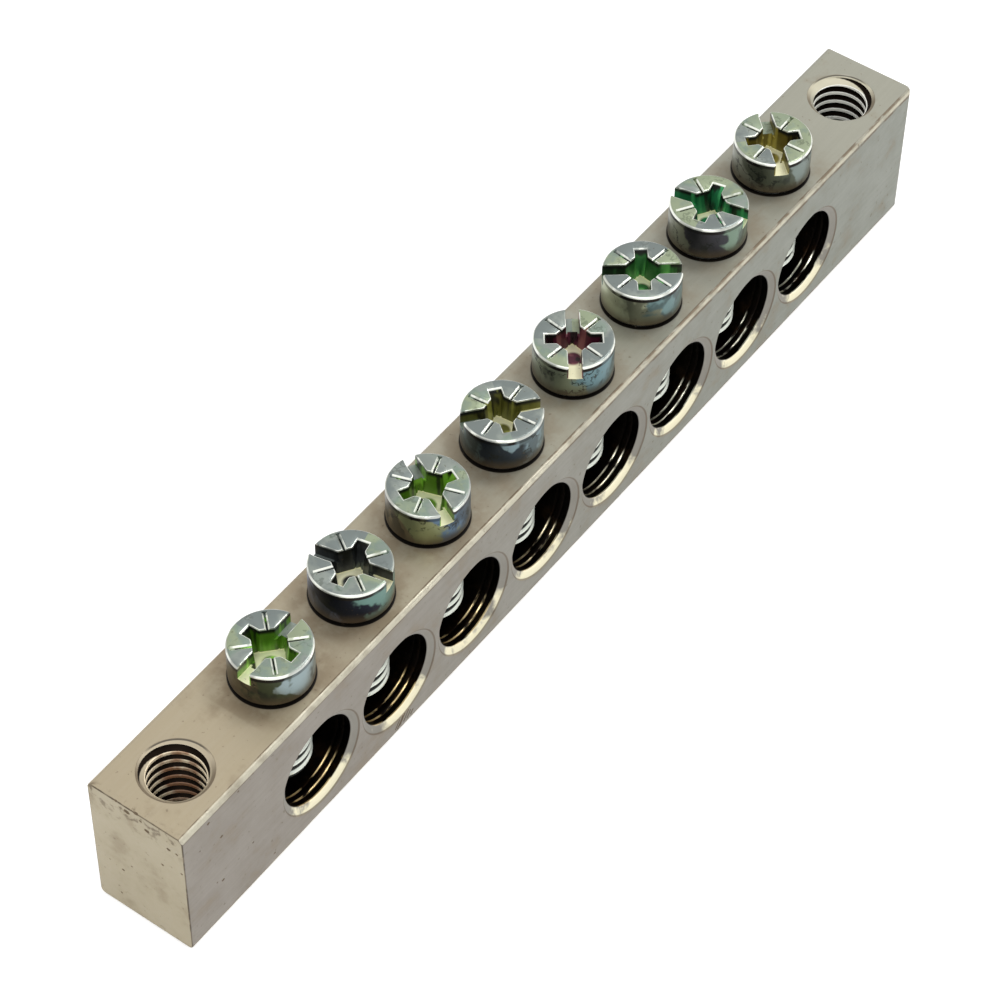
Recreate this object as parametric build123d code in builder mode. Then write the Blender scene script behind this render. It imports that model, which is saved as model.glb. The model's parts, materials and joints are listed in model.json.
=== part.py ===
from build123d import *
import os
from math import cos, radians, sin

# Plated brass terminal bar with a row of screw-clamped wire ways and a fixing hole at each end.
# Millimetres, +Z up. The origin is at the middle of the bar's underside, and the wires enter at -Y.

# Wire ways
way_count = 8
wire_bore_diameter = 5.8
wire_mouth_chamfer = 0.5
wire_mouth_angle = 118
wire_exit_chamfer = 0.2
wire_exit_angle = 90
mouth_land = 0.2
floor_under_bores = 1.55

# Bar section and ends
bar_width = 6.5
bar_height = 10.0
long_edge_radius = 0.3
end_margin = 11.5
rolled_front_radius = 0.6
rolled_bottom_radius = 0.7

# Tapped fixing holes, left at the tap drill's size
fixing_hole_diameter = 3.3
fixing_mouth_diameter = 4.3
fixing_mouth_angle = 90
fixing_hole_inset = 3.4

# Terminal screws
thread_diameter = 4.0
thread_clearance = 0.05
screw_mouth_chamfer = 0.15
tip_chamfer = 0.5
tip_gap = 0.85
head_diameter = 4.8
head_height = 2.6
head_edge_chamfer = 0.25
head_underside_chamfer = 0.25
seat_gap = 0.02

# Recess in each screw head: a slot across it, a cross with a wide core, both tapered, and four short ticks
slot_width = 0.8
slot_depth = 0.9
cross_depth = 1.75
cross_span = 3.4
cross_arm_width = 0.75
cross_arm_taper = 0.6
cross_core_width = 1.95
cross_core_taper = 0.85
tick_width = 0.3
tick_depth = 0.16
tick_rim = 0.2

# How far each screw was turned, in degrees from the bar's long axis to its slot
slot_turns = [2, 102, 64, 141, 38, 129, 103, 47]

# Places that follow from the sizes
wire_mouth_diameter = wire_bore_diameter + 2 * wire_mouth_chamfer
way_pitch = wire_mouth_diameter + mouth_land
bar_length = (way_count - 1) * way_pitch + 2 * end_margin
wire_bore_height = floor_under_bores + wire_bore_diameter / 2
screw_hole_radius = thread_diameter / 2 + thread_clearance
shank_length = bar_height + seat_gap - floor_under_bores - tip_gap
way_places = [(number - (way_count - 1) / 2) * way_pitch for number in range(way_count)]
fixing_places = [-bar_length / 2 + fixing_hole_inset, bar_length / 2 - fixing_hole_inset]

# Faces of the bar that holes start from, each with its normal out of the metal
front_face = Plane(origin=(0, -bar_width / 2, 0), x_dir=(1, 0, 0), z_dir=(0, -1, 0))
back_face = Plane(origin=(0, bar_width / 2, 0), x_dir=(-1, 0, 0), z_dir=(0, 1, 0))
top_face = Plane(origin=(0, 0, bar_height), x_dir=(1, 0, 0), z_dir=(0, 0, 1))
under_face = Plane(origin=(0, 0, 0), x_dir=(1, 0, 0), z_dir=(0, 0, -1))


def make_bar_blank():
    """Drawn section, cut off with a rolled front and bottom edge at the far end."""
    with BuildPart() as blank:
        with BuildSketch(Plane.YZ.offset(-bar_length / 2)):
            with Locations((0, bar_height / 2)):
                RectangleRounded(bar_width, bar_height, long_edge_radius)
        extrude(amount=bar_length)
        with BuildSketch(Plane.XY) as from_above:
            Rectangle(bar_length, bar_width)
            front_far_corner = from_above.vertices().group_by(Axis.X)[-1].sort_by(Axis.Y)[0]
            fillet(front_far_corner, rolled_front_radius)
        extrude(amount=bar_height, mode=Mode.INTERSECT)
        with BuildSketch(Plane.XZ) as from_front:
            with Locations((0, bar_height / 2)):
                Rectangle(bar_length, bar_height)
            bottom_far_corner = from_front.vertices().group_by(Axis.X)[-1].sort_by(Axis.Z)[0]
            fillet(bottom_far_corner, rolled_bottom_radius)
        extrude(amount=bar_width / 2, both=True, mode=Mode.INTERSECT)
    return blank.part


def make_terminal_bar():
    """The blank, drilled across for the wires and down for the clamping and fixing screws."""
    bore_radius = wire_bore_diameter / 2
    with BuildPart() as bar:
        add(make_bar_blank())
        with Locations(front_face):
            with Locations(*[(place, wire_bore_height) for place in way_places]):
                CounterSinkHole(bore_radius, wire_mouth_diameter / 2, counter_sink_angle=wire_mouth_angle)
        with Locations(back_face):
            with Locations(*[(place, wire_bore_height) for place in way_places]):
                CounterSinkHole(
                    bore_radius, bore_radius + wire_exit_chamfer, bar_width / 2, wire_exit_angle
                )
        with Locations(top_face):
            with Locations(*[(place, 0) for place in way_places]):
                CounterSinkHole(
                    screw_hole_radius,
                    screw_hole_radius + screw_mouth_chamfer,
                    bar_height - wire_bore_height,
                    fixing_mouth_angle,
                )
        for face in (top_face, under_face):
            with Locations(face):
                with Locations(*[(place, 0) for place in fixing_places]):
                    CounterSinkHole(
                        fixing_hole_diameter / 2,
                        fixing_mouth_diameter / 2,
                        bar_height / 2,
                        fixing_mouth_angle,
                    )
    return bar.part


def turned_blank(seat):
    """Head and shank, turned about the screw's axis as one profile."""
    head_radius = head_diameter / 2
    shank_radius = thread_diameter / 2
    with BuildPart() as blank:
        with BuildSketch(Plane(origin=seat.origin, x_dir=seat.x_dir, z_dir=-seat.y_dir)):
            with BuildLine():
                Polyline(
                    (0, -shank_length),
                    (shank_radius - tip_chamfer, -shank_length),
                    (shank_radius, -shank_length + tip_chamfer),
                    (shank_radius, 0),
                    (head_radius - head_underside_chamfer, 0),
                    (head_radius, head_underside_chamfer),
                    (head_radius, head_height),
                    (0, head_height),
                    close=True,
                )
            make_face()
        revolve(axis=Axis(seat.origin, seat.z_dir))
        chamfer(blank.edges().group_by(Axis.Z)[-1], head_edge_chamfer)
    return blank.part


def press_recess(length, width, taper, turn):
    """Press one tapered bar of the cross down into the head, at the place in force."""
    inset = (1 - taper) / 2
    Wedge(
        length,
        cross_depth,
        width,
        length * inset,
        width * inset,
        length * (1 - inset),
        width * (1 - inset),
        rotation=(-90, turn, 0),
        align=(Align.CENTER, Align.MIN, Align.CENTER),
        mode=Mode.SUBTRACT,
    )


def tick_groove(seat, angle):
    """The V-shaped metal that one tick presses away, along a radius from the core towards the rim."""
    outward = seat.x_dir.rotate(Axis.Z, angle)
    tick_plane = Plane(
        origin=seat.origin + seat.z_dir * head_height,
        x_dir=outward.rotate(Axis.Z, 90),
        z_dir=outward,
    )
    with BuildPart() as groove:
        with BuildSketch(tick_plane):
            with BuildLine():
                Polyline((-tick_width / 2, 0), (tick_width / 2, 0), (0, -tick_depth), close=True)
            make_face()
        extrude(amount=head_diameter / 2 - tick_rim)
    return groove.part


def make_terminal_screw(place, turn):
    """One clamping screw, seated on the bar with its slot turned to its own angle."""
    seat = Plane(
        origin=(place, 0, bar_height + seat_gap),
        x_dir=(cos(radians(turn)), sin(radians(turn)), 0),
        z_dir=(0, 0, 1),
    )
    head_top = seat.offset(head_height)
    with BuildPart() as screw:
        add(turned_blank(seat))
        with BuildSketch(head_top):
            Rectangle(head_diameter, slot_width)
        extrude(amount=-slot_depth, mode=Mode.SUBTRACT)
        with Locations(head_top):
            press_recess(cross_span, cross_arm_width, cross_arm_taper, 0)
            press_recess(cross_span, cross_arm_width, cross_arm_taper, 90)
            press_recess(cross_core_width, cross_core_width, cross_core_taper, 45)
        for quarter in range(4):
            add(tick_groove(seat, 45 + 90 * quarter), mode=Mode.SUBTRACT)
    return screw.part


os.makedirs("parts", exist_ok=True)

with BuildPart() as terminal_bar:
    add(make_terminal_bar())
terminal_bar.part.label = "terminal_bar"
export_step(terminal_bar.part, "parts/terminal_bar.step")

for number, (way_place, slot_turn) in enumerate(zip(way_places, slot_turns), start=1):
    with BuildPart() as terminal_screw:
        add(make_terminal_screw(way_place, slot_turn))
    terminal_screw.part.label = f"terminal_screw_{number}"
    export_step(terminal_screw.part, f"parts/terminal_screw_{number}.step")
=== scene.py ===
import bpy
import bmesh
import json
from math import cos, pi, radians, sin, tan
from mathutils import Matrix, Vector


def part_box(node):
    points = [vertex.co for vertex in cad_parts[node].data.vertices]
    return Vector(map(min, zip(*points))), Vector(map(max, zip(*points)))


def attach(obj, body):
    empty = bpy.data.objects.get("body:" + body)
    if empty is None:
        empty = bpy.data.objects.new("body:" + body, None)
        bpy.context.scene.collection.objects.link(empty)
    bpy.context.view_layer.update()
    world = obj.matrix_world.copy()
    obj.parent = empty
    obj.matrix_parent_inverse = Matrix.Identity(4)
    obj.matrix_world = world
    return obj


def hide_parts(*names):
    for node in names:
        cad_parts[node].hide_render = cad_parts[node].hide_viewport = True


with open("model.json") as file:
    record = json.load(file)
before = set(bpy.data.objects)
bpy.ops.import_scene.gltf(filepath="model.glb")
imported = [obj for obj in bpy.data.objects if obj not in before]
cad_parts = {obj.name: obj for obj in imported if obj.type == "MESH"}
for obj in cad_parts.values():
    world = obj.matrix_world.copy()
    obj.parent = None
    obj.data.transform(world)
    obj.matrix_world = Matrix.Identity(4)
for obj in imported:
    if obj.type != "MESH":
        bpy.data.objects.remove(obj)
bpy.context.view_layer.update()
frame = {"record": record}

# Shapes are worked out in millimetres, as in the solids, and become metres when a piece is finished
metre = 0.001
barLow, barHigh = [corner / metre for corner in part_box("terminal_bar")]
barLength, barWidth, barHeight = barHigh - barLow
mounts = frame["record"]["mounts"]
wayMounts = [m for m in mounts if m["name"].startswith("wire_way")]
wayPlaces = [m["pos_m"][0] / metre for m in wayMounts]
wayHeight = wayMounts[0]["pos_m"][2] / metre
boreRadius = wayMounts[0]["dims"]["r_mm"]
wayPitch = wayPlaces[1] - wayPlaces[0]
fixingMounts = [m for m in mounts if m["kind"] == "threaded_hole"]
fixingPlaces = [m["pos_m"][0] / metre for m in fixingMounts]
fixingRadius = fixingMounts[0]["dims"]["r_mm"]
xAxis, yAxis, zAxis = Vector((1, 0, 0)), Vector((0, 1, 0)), Vector((0, 0, 1))
smoothAngle = 32  # degrees: where two faces meet at more, the edge stays hard
sameSpot = 1e-5  # corners closer than this are one
sortWay = Vector((1, 1.618, 2.718))  # askew, so that corners seldom tie


def boxShape(low, high):
    bm = bmesh.new()
    bmesh.ops.create_cube(bm, size=1)
    low, high = Vector(low), Vector(high)
    bmesh.ops.scale(bm, vec=high - low, verts=bm.verts)
    bmesh.ops.translate(bm, vec=(low + high) / 2, verts=bm.verts)
    return bm


def roundOver(bm, edges, radius, segments, held=True):
    bmesh.ops.bevel(bm, geom=edges, offset=radius, offset_type="OFFSET", segments=segments,
                    profile=0.5, affect="EDGES", material=-1, clamp_overlap=held)


def turned(profile, axis, out, steps):
    bm = bmesh.new()  # profile: (radius, place along the axis), from axis to axis
    points = [bm.verts.new(axis * along + out * radius) for radius, along in profile]
    edges = [bm.edges.new(pair) for pair in zip(points, points[1:])]
    bmesh.ops.spin(bm, geom=points + edges, cent=(0, 0, 0), axis=axis, angle=2 * pi,
                   steps=steps, use_merge=True)
    bmesh.ops.remove_doubles(bm, verts=bm.verts, dist=sameSpot)
    bmesh.ops.recalc_face_normals(bm, faces=bm.faces)
    return bm


# A V that winds round the axis, to be cut out of a shank or a hole
def threadGroove(axis, out, openRadius, thread, start, end):
    bm = bmesh.new()
    rootRadius = thread["rootRadius"]
    rootHalf = thread["rootFlat"] / 2
    openHalf = rootHalf + abs(openRadius - rootRadius) * tan(radians(thread["flankAngle"]))
    section = [(openRadius, -openHalf), (openRadius, openHalf),
               (rootRadius, rootHalf), (rootRadius, -rootHalf)]
    corners = [bm.verts.new(axis * (start + along) + out * radius) for radius, along in section]
    face = bm.faces.new(corners)
    turns = (end - start) / thread["pitch"]
    steps = round(turns * thread["steps"])
    bmesh.ops.spin(bm, geom=[face] + face.edges[:] + corners, cent=(0, 0, 0), axis=axis,
                   dvec=axis * ((end - start) / steps), angle=turns * 2 * pi, steps=steps,
                   use_merge=False)
    # the groove grows shallow where the thread runs out
    for vert in bm.verts if thread["runOut"] else []:
        along = vert.co.dot(axis)
        left = (end - along) / thread["runOut"]
        if left < 1:
            away = vert.co - axis * along
            depth = (away.length - openRadius) * max(left, thread["shallowest"])
            vert.co = axis * along + away.normalized() * (openRadius + depth)
    bmesh.ops.recalc_face_normals(bm, faces=bm.faces)
    bmesh.ops.triangulate(bm, faces=bm.faces)
    return bm


def turnAbout(bm, angle, axis):
    turn = Matrix.Rotation(radians(angle), 3, axis)
    bmesh.ops.rotate(bm, cent=(0, 0, 0), matrix=turn, verts=bm.verts)


def shifted(bm, place):
    bmesh.ops.translate(bm, vec=Vector(place), verts=bm.verts)
    return bm


def atPlaces(bm, places):
    first = bm.verts[:] + bm.edges[:] + bm.faces[:]
    for place in places[1:]:
        copied = bmesh.ops.duplicate(bm, geom=first)["geom"]
        bmesh.ops.translate(bm, vec=Vector(place) - Vector(places[0]),
                            verts=[g for g in copied if isinstance(g, bmesh.types.BMVert)])
    return shifted(bm, places[0])


# A Boolean doesn't always give its corners in the same order, so they are sorted by place
def inOrder(bm):
    bm.verts.sort(key=lambda v: v.co.dot(sortWay))
    bm.edges.sort(key=lambda e: (e.verts[0].co + e.verts[1].co).dot(sortWay))
    bm.faces.sort(key=lambda f: f.calc_center_median().dot(sortWay))
    return bm


def combined(target, tool, operation="DIFFERENCE"):
    made = []
    for bm in (target, tool):
        mesh = bpy.data.meshes.new("shape")
        bm.to_mesh(mesh)
        bm.free()
        made.append(bpy.data.objects.new("shape", mesh))
        bpy.context.scene.collection.objects.link(made[-1])
    modifier = made[0].modifiers.new("combine", "BOOLEAN")
    modifier.operation = operation
    modifier.object = made[1]
    modifier.solver = "EXACT"
    depsgraph = bpy.context.evaluated_depsgraph_get()
    result = bpy.data.meshes.new_from_object(made[0].evaluated_get(depsgraph))
    bm = bmesh.new()
    bm.from_mesh(result)
    bpy.data.meshes.remove(result)
    for shape in made:
        mesh = shape.data
        bpy.data.objects.remove(shape)
        bpy.data.meshes.remove(mesh)
    return inOrder(bm)


def finished(bm, name, body, node, material):
    for face in bm.faces:
        face.smooth = True
    for edge in bm.edges:
        edge.smooth = len(edge.link_faces) == 2 and edge.calc_face_angle(0) < radians(smoothAngle)
    bmesh.ops.scale(bm, vec=(metre, metre, metre), verts=bm.verts)
    mesh = bpy.data.meshes.new(name)
    bm.to_mesh(mesh)
    bm.free()
    mesh.materials.append(material)
    piece = bpy.data.objects.new(name, mesh)
    bpy.context.scene.collection.objects.link(piece)
    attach(piece, body)
    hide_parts(node)
    flatFaces = piece.modifiers.new("flatFaces", "WEIGHTED_NORMAL")
    flatFaces.keep_sharp = True
    print(name, len(mesh.polygons), "faces")


def addNode(tree, kind, inputs=None, **settings):
    node = tree.nodes.new(kind)
    for key, value in settings.items():
        setattr(node, key, value)
    for key, value in (inputs or {}).items():
        if isinstance(value, bpy.types.NodeSocket):
            tree.links.new(value, node.inputs[key])
        else:
            node.inputs[key].default_value = value
    return node


def calc(tree, operation, first, second=0.0, third=0.0):
    inputs = {0: first, 1: second, 2: third}
    return addNode(tree, "ShaderNodeMath", inputs, operation=operation).outputs[0]


def plus(tree, first, second):
    return calc(tree, "ADD", first, second)


def minus(tree, first, second):
    return calc(tree, "SUBTRACT", first, second)


def larger(tree, first, second):
    return calc(tree, "MAXIMUM", first, second)


def amount(tree, value):
    return calc(tree, "ABSOLUTE", value)


def product(tree, *values):
    result = values[0]
    for value in values[1:]:
        result = calc(tree, "MULTIPLY", result, value)
    return result


def across(tree, first, second):
    squares = plus(tree, product(tree, first, first), product(tree, second, second))
    return calc(tree, "SQRT", squares)


def fade(tree, value, fromMin, fromMax, toMin=0.0, toMax=1.0):
    inputs = {"Value": value, "From Min": fromMin, "From Max": fromMax,
              "To Min": toMin, "To Max": toMax}
    return addNode(tree, "ShaderNodeMapRange", inputs, interpolation_type="SMOOTHSTEP").outputs[0]


# The share of a place that lies in all the named zones at once
def within(tree, zones, **values):
    return product(tree, *[fade(tree, value, *zones[name]) for name, value in values.items()])


def blendColour(tree, share, first, second):
    node = addNode(tree, "ShaderNodeMix", data_type="RGBA")
    for number, value in ((0, share), (6, first), (7, second)):
        socket = node.inputs[number]
        if isinstance(value, bpy.types.NodeSocket):
            tree.links.new(value, socket)
        else:
            socket.default_value = (*value, 1) if isinstance(value, tuple) else value
    return node.outputs[2]


def ramp(tree, value, stops):
    node = addNode(tree, "ShaderNodeValToRGB", {"Fac": value})
    while len(node.color_ramp.elements) < len(stops):
        node.color_ramp.elements.new(0.5)
    for element, (place, colour) in zip(node.color_ramp.elements, stops):
        element.position = place
        element.color = (*colour, 1)
    return node.outputs["Color"]


def vectorCalc(tree, operation, *values):
    inputs = dict(enumerate(values))
    return addNode(tree, "ShaderNodeVectorMath", inputs, operation=operation).outputs


# A scale given as three numbers stretches the pattern along the axes
def noise(tree, vector, scale, detail=3.0, roughness=0.55):
    if isinstance(scale, tuple):
        vector, scale = vectorCalc(tree, "MULTIPLY", vector, scale)[0], 1.0
    inputs = {"Vector": vector, "Scale": scale, "Detail": detail, "Roughness": roughness}
    return addNode(tree, "ShaderNodeTexNoise", inputs).outputs["Fac"]


# Place in millimetres, from a point of the piece and turned with it
def inMillimetres(tree, centre=(0, 0, 0), turn=0):
    inputs = {"Vector": addNode(tree, "ShaderNodeTexCoord").outputs["Object"],
              "Location": [c * metre for c in centre], "Rotation": (0, 0, radians(turn)),
              "Scale": (metre, metre, metre)}
    return addNode(tree, "ShaderNodeMapping", inputs, vector_type="TEXTURE").outputs[0]


def newGroup(name, inputs, outputs):
    tree = bpy.data.node_groups.new(name, "ShaderNodeTree")
    for label, kind in inputs.items():
        tree.interface.new_socket(label, in_out="INPUT", socket_type="NodeSocket" + kind)
    for label, kind in outputs.items():
        tree.interface.new_socket(label, in_out="OUTPUT", socket_type="NodeSocket" + kind)
    return tree, tree.nodes.new("NodeGroupInput").outputs, tree.nodes.new("NodeGroupOutput").inputs


def placeGroup(tree, group, inputs):
    node = tree.nodes.new("ShaderNodeGroup")
    node.node_tree = group
    for label, value in inputs.items():
        socket = node.inputs[label]
        if isinstance(value, bpy.types.NodeSocket):
            tree.links.new(value, socket)
        else:
            socket.default_value = (*value, 1) if socket.type == "RGBA" else value
    return node.outputs


def newMaterial(name, roughness, metallic):
    material = bpy.data.materials.new(name)
    material.use_nodes = True
    shader = material.node_tree.nodes["Principled BSDF"]
    shader.inputs["Metallic"].default_value = metallic
    shader.inputs["Roughness"].default_value = roughness
    return material, material.node_tree, shader


def addBump(tree, shader, height, finish):
    bump = addNode(tree, "ShaderNodeBump", {"Height": height, "Strength": finish["bumpStrength"],
                                            "Distance": finish["bumpDepth"] * metre})
    tree.links.new(bump.outputs[0], shader.inputs["Normal"])


# Fine marks that both platings share, each as its noise's scale, detail and roughness
fineMarks = {
    "streaks": (1.0, 4.0, 0.6),
    "stains": (0.45, 4.0, 0.6),
    "specks": (3.6, 3.0, 0.5),
    "dings": (1.1, 2.0, 0.5),
    "speckEdge": (0.66, 0.76),
}


def makeHandlingMarks():
    tree, given, wanted = newGroup(
        "handlingMarks", {"Vector": "Vector", "Streak Scale": "Vector"},
        {"Streaks": "Float", "Stains": "Float", "Specks": "Float", "Dings": "Float"})
    place = given["Vector"]
    alongStreaks = vectorCalc(tree, "MULTIPLY", place, given["Streak Scale"])[0]
    specks = fade(tree, noise(tree, place, *fineMarks["specks"]), *fineMarks["speckEdge"])
    tree.links.new(noise(tree, alongStreaks, *fineMarks["streaks"]), wanted["Streaks"])
    tree.links.new(noise(tree, place, *fineMarks["stains"]), wanted["Stains"])
    tree.links.new(specks, wanted["Specks"])
    tree.links.new(noise(tree, place, *fineMarks["dings"]), wanted["Dings"])
    return tree


handlingMarks = makeHandlingMarks()

bar = {
    "edgeRadius": 0.3,
    "sawnEdge": 0.07,
    "rolledFront": 0.6,
    "rolledBottom": 0.7,
    "mouthChamfer": 0.5,
    "mouthAngle": 118,
    "exitChamfer": 0.2,
    "ringPitch": 0.46,
    "ringDepth": 0.04,
    "ringHalf": 0.12,
    "ringReach": 1.6,
    "screwHoleRadius": 2.05,
    "screwMouth": 0.15,
    "fixingMouthRadius": 2.15,
    "threadRise": (-0.22, 0.0),
    "spare": 0.05,  # how far a cutting tool stands out of the metal
    "boreSteps": 72,
    "holeSteps": 56,
    "rollSteps": 8,
    "edgeSteps": 5,
    "sawnSteps": 2,
    # plating colours as lit and shaded copies: the top lighter towards the near end and the sawn
    # end lighter are painted light, the front darker is painted shade
    "topNear": (0.41, 0.345, 0.235),
    "topFar": (0.335, 0.33, 0.27),
    "frontNear": (0.245, 0.218, 0.183),
    "frontFar": (0.225, 0.235, 0.198),
    "endColour": (0.42, 0.365, 0.25),
    "stainColour": (0.24, 0.18, 0.11),
    "streakColour": (0.56, 0.53, 0.46),
    "pitColour": (0.14, 0.10, 0.06),
    # near black: a painted shadow ring round each screw head, and the dark line along the sawn
    # edges
    "grimeColour": (0.008, 0.006, 0.004),
    # a painted highlight along the front's rounded long edges
    "wornEdge": (0.50, 0.47, 0.37),
    "chamferGrey": (0.26, 0.245, 0.21),
    # painted light on the lower, upward-facing part of each countersink
    "chamferBright": (0.92, 0.86, 0.62),
    # painted shade inside the wire bores, near black with some brown low down
    "boreColour": (0.008, 0.006, 0.005),
    "boreBrown": (0.022, 0.012, 0.006),
    # painted glints on the drill's rings in the bores
    "ringColour": (1.0, 0.76, 0.38),
    "ringFar": (1.0, 0.98, 0.80),
    # painted highlights on the tapped holes' thread crests
    "crestNear": (1.0, 0.86, 0.62),
    "crestFar": (1.0, 1.0, 0.92),
    "crestBrown": (0.36, 0.18, 0.09),
    # painted light on each countersink's side that catches the light
    "coneNear": (0.58, 0.50, 0.36),
    "coneFar": (0.66, 0.62, 0.47),
    # painted shade in the thread grooves, and a painted shadow line inside the countersink's rim
    "grooveColour": (0.010, 0.007, 0.005),
    "metallic": 0.5,
    "roughness": 0.46,
    "speckShare": 0.5,
    "edgePitShare": 0.75,
    "knockShare": 0.9,
    "rimShare": 0.8,
    "mouthPolish": 0.12,
    "pitRoughness": 0.25,
    "pitDullness": 0.3,
    "holeDullness": 0.45,
    "firstRing": 0.3,
    "backWay": (0.81, 0.58),  # from a fixing hole's axis towards the side that catches the light
    "lipInset": 0.06,
    "streakScale": (0.12, 4.0, 4.0),
    "lineScale": (0.8, 2.5, 2.5),
    "pitScale": 1.9,
    "brownScale": 1.3,
    "glintScale": (0.5, 2.0, 0.5),
    "tarnishScale": (0.7, 0.7, 0.5),
    "streakBump": 0.18,
    "dingBump": 1.6,
    "bumpStrength": 0.16,
    "bumpDepth": 0.05,
}
fixingThread = {"pitch": 0.7, "rootFlat": 0.12, "flankAngle": 28, "rootRadius": 2.02, "steps": 40,
                "inside": 0.05, "runOut": 0}
# Where each painted zone of the bar starts and is full, then its shares there if not 0 and 1
barZones = {
    "topDrift": (-33, 12), "frontDrift": (-30, 25), "front": (0.3, 0.06), "sawnEnd": (0.05, 0.01),
    "stain": (0.52, 0.72, 0.0, 0.38), "streak": (0.35, 0.7, 0.0, 0.06),
    "ways": (0.0, -0.2), "top": (-0.3, -0.1), "smudge": (4.4, 2.6), "smudgePatch": (0.35, 0.55),
    "smudgeDrift": (20, -30, 0.3, 0.7), "grimeRing": (2.5, 2.43),
    "frontHalf": (0.5, -0.5), "hairline": (0.25, 0.29), "hairlinePatch": (0.42, 0.55, 0.2, 0.85),
    "rubDrift": (-30, 15, 0.05, -0.02), "rub": (0.36, 0.40), "rubPatch": (0.3, 0.6, 0.6, 1.0),
    "sawnLine": (-0.08, -0.05), "sawnPatch": (0.4, 0.55, 0.35, 0.9),
    "knock": (-0.008, -0.02), "knockReach": (-0.3, -0.2), "knockEdge": (0.30, 0.27),
    "knockEnd": (34.5, 34.2), "pitEnd": (0.5, 0.05), "pitTop": (7.5, 9.8), "pit": (0.52, 0.66),
    "bore": (0.11, 0.07), "boreEnds": (-0.26, -0.32), "mouth": (0.53, 0.49),
    "mouthFace": (0.01, -0.03), "mouthSide": (0.5, 0.3), "chamferPatch": (0.3, 0.7, -0.8, 0.8),
    "chamferLow": (-1.9, -2.6), "rim": (0.37, 0.42), "brownPatch": (0.45, 0.65),
    "brownLow": (-0.8, -2.2), "ring": (0.09, 0.05), "ringReach": (1.5, 1.3),
    "ringLow": (-1.8, -2.4), "ringPatch": (0.42, 0.52), "ringDrift": (-15, 12),
    "hole": (0.01, -0.03), "holeFace": (0.0, -0.04), "groove": (0.03, 0.06), "farHole": (-5, 5),
    "nearHole": (5, -5), "tarnishPatch": (0.35, 0.55), "tarnishBack": (1.1, 1.5),
    "cone": (0.02, 0.06), "coneBack": (-0.4, 1.2, 0.1, 1.0), "lip": (0.05, 0.02),
    "lipBack": (1.0, 1.7, 0.0, 0.8), "dull": (0.3, 0.7, -0.05, 0.09),
}
# Knocks that the photograph shows, each as its place and the size of the ball that struck:
# in the sawn end (y, z), in the front (x, z) and in the top (x, y)
endKnocks = [
    (1.28, 9.92, 0.20), (0.53, 9.62, 0.34), (0.20, 9.98, 0.24), (-0.08, 9.90, 0.26),
    (-0.79, 9.00, 0.30), (-1.35, 9.98, 0.20), (-2.23, 8.55, 0.24), (-2.79, 8.56, 0.18),
    (-3.00, 6.96, 0.16), (-1.67, 6.68, 0.18), (1.32, 3.62, 0.18), (0.65, 4.51, 0.13),
    (1.67, 1.17, 0.15), (-0.40, 9.55, 0.18), (2.24, 3.85, 0.10),
]
frontKnocks = [
    (-32.97, 7.15, 0.20), (-33.89, 9.35, 0.20), (-30.54, 3.83, 0.14), (-33.14, 3.31, 0.20),
    (-33.60, 3.60, 0.12), (-28.86, 0.90, 0.16), (-34.71, 7.77, 0.12), (-31.40, 9.46, 0.14),
    (-29.90, 9.95, 0.42), (-20.30, 9.92, 0.20), (-12.40, 9.93, 0.16), (4.80, 9.92, 0.16),
    (17.3, 9.93, 0.18),
]
topKnocks = [
    (-34.27, 1.84, 0.20), (-32.78, 2.58, 0.14), (-22.82, -2.68, 0.20), (-21.66, -1.23, 0.13),
    (-22.39, -1.86, 0.14), (-15.85, -2.63, 0.18), (-25.49, -2.84, 0.14), (-27.60, -1.23, 0.12),
    (30.2, -2.3, 0.14),
]
knockShape = {
    "flatness": 0.8, "lift": 0.7, "end": -36, "front": -3.25, "frontEdge": -3.22, "top": 10,
    "edgeFrom": 9.8,  # above this height a knock struck the upper edge, at 45 degrees
}
# Short parallel scratches under the second bore: middle of each (x, z), and its length
barScratches = [(-17.75, 0.75, 0.7), (-17.50, 0.72, 0.9), (-17.25, 0.85, 1.0),
                (-16.95, 0.80, 0.8), (-16.70, 0.70, 0.6), (-16.42, 0.62, 0.4)]
scratchShape = {"half": 0.05, "lean": 38}


def barBlank():
    half = barWidth / 2
    end = barLength / 2
    drawn = boxShape((-end, -half, 0), (end, half, barHeight))
    longEdges = [e for e in drawn.edges if abs(e.verts[0].co.x - e.verts[1].co.x) > 1]
    roundOver(drawn, longEdges, bar["edgeRadius"], bar["edgeSteps"])
    nearEnd = [e for e in drawn.edges if all(v.co.x < -end + 0.01 for v in e.verts)]
    roundOver(drawn, nearEnd, bar["sawnEdge"], bar["sawnSteps"])
    fromAbove = boxShape((-end - 1, -half, -1), (end, half + 1, barHeight + 1))
    corner = [e for e in fromAbove.edges if all(v.co.x > 0 and v.co.y < 0 for v in e.verts)]
    roundOver(fromAbove, corner, bar["rolledFront"], bar["rollSteps"])
    fromFront = boxShape((-end - 1, -half - 1, 0), (end, half + 1, barHeight + 1))
    corner = [e for e in fromFront.edges if all(v.co.x > 0 and v.co.z < 1 for v in e.verts)]
    roundOver(fromFront, corner, bar["rolledBottom"], bar["rollSteps"])
    return combined(combined(drawn, fromAbove, "INTERSECT"), fromFront, "INTERSECT")


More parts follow.
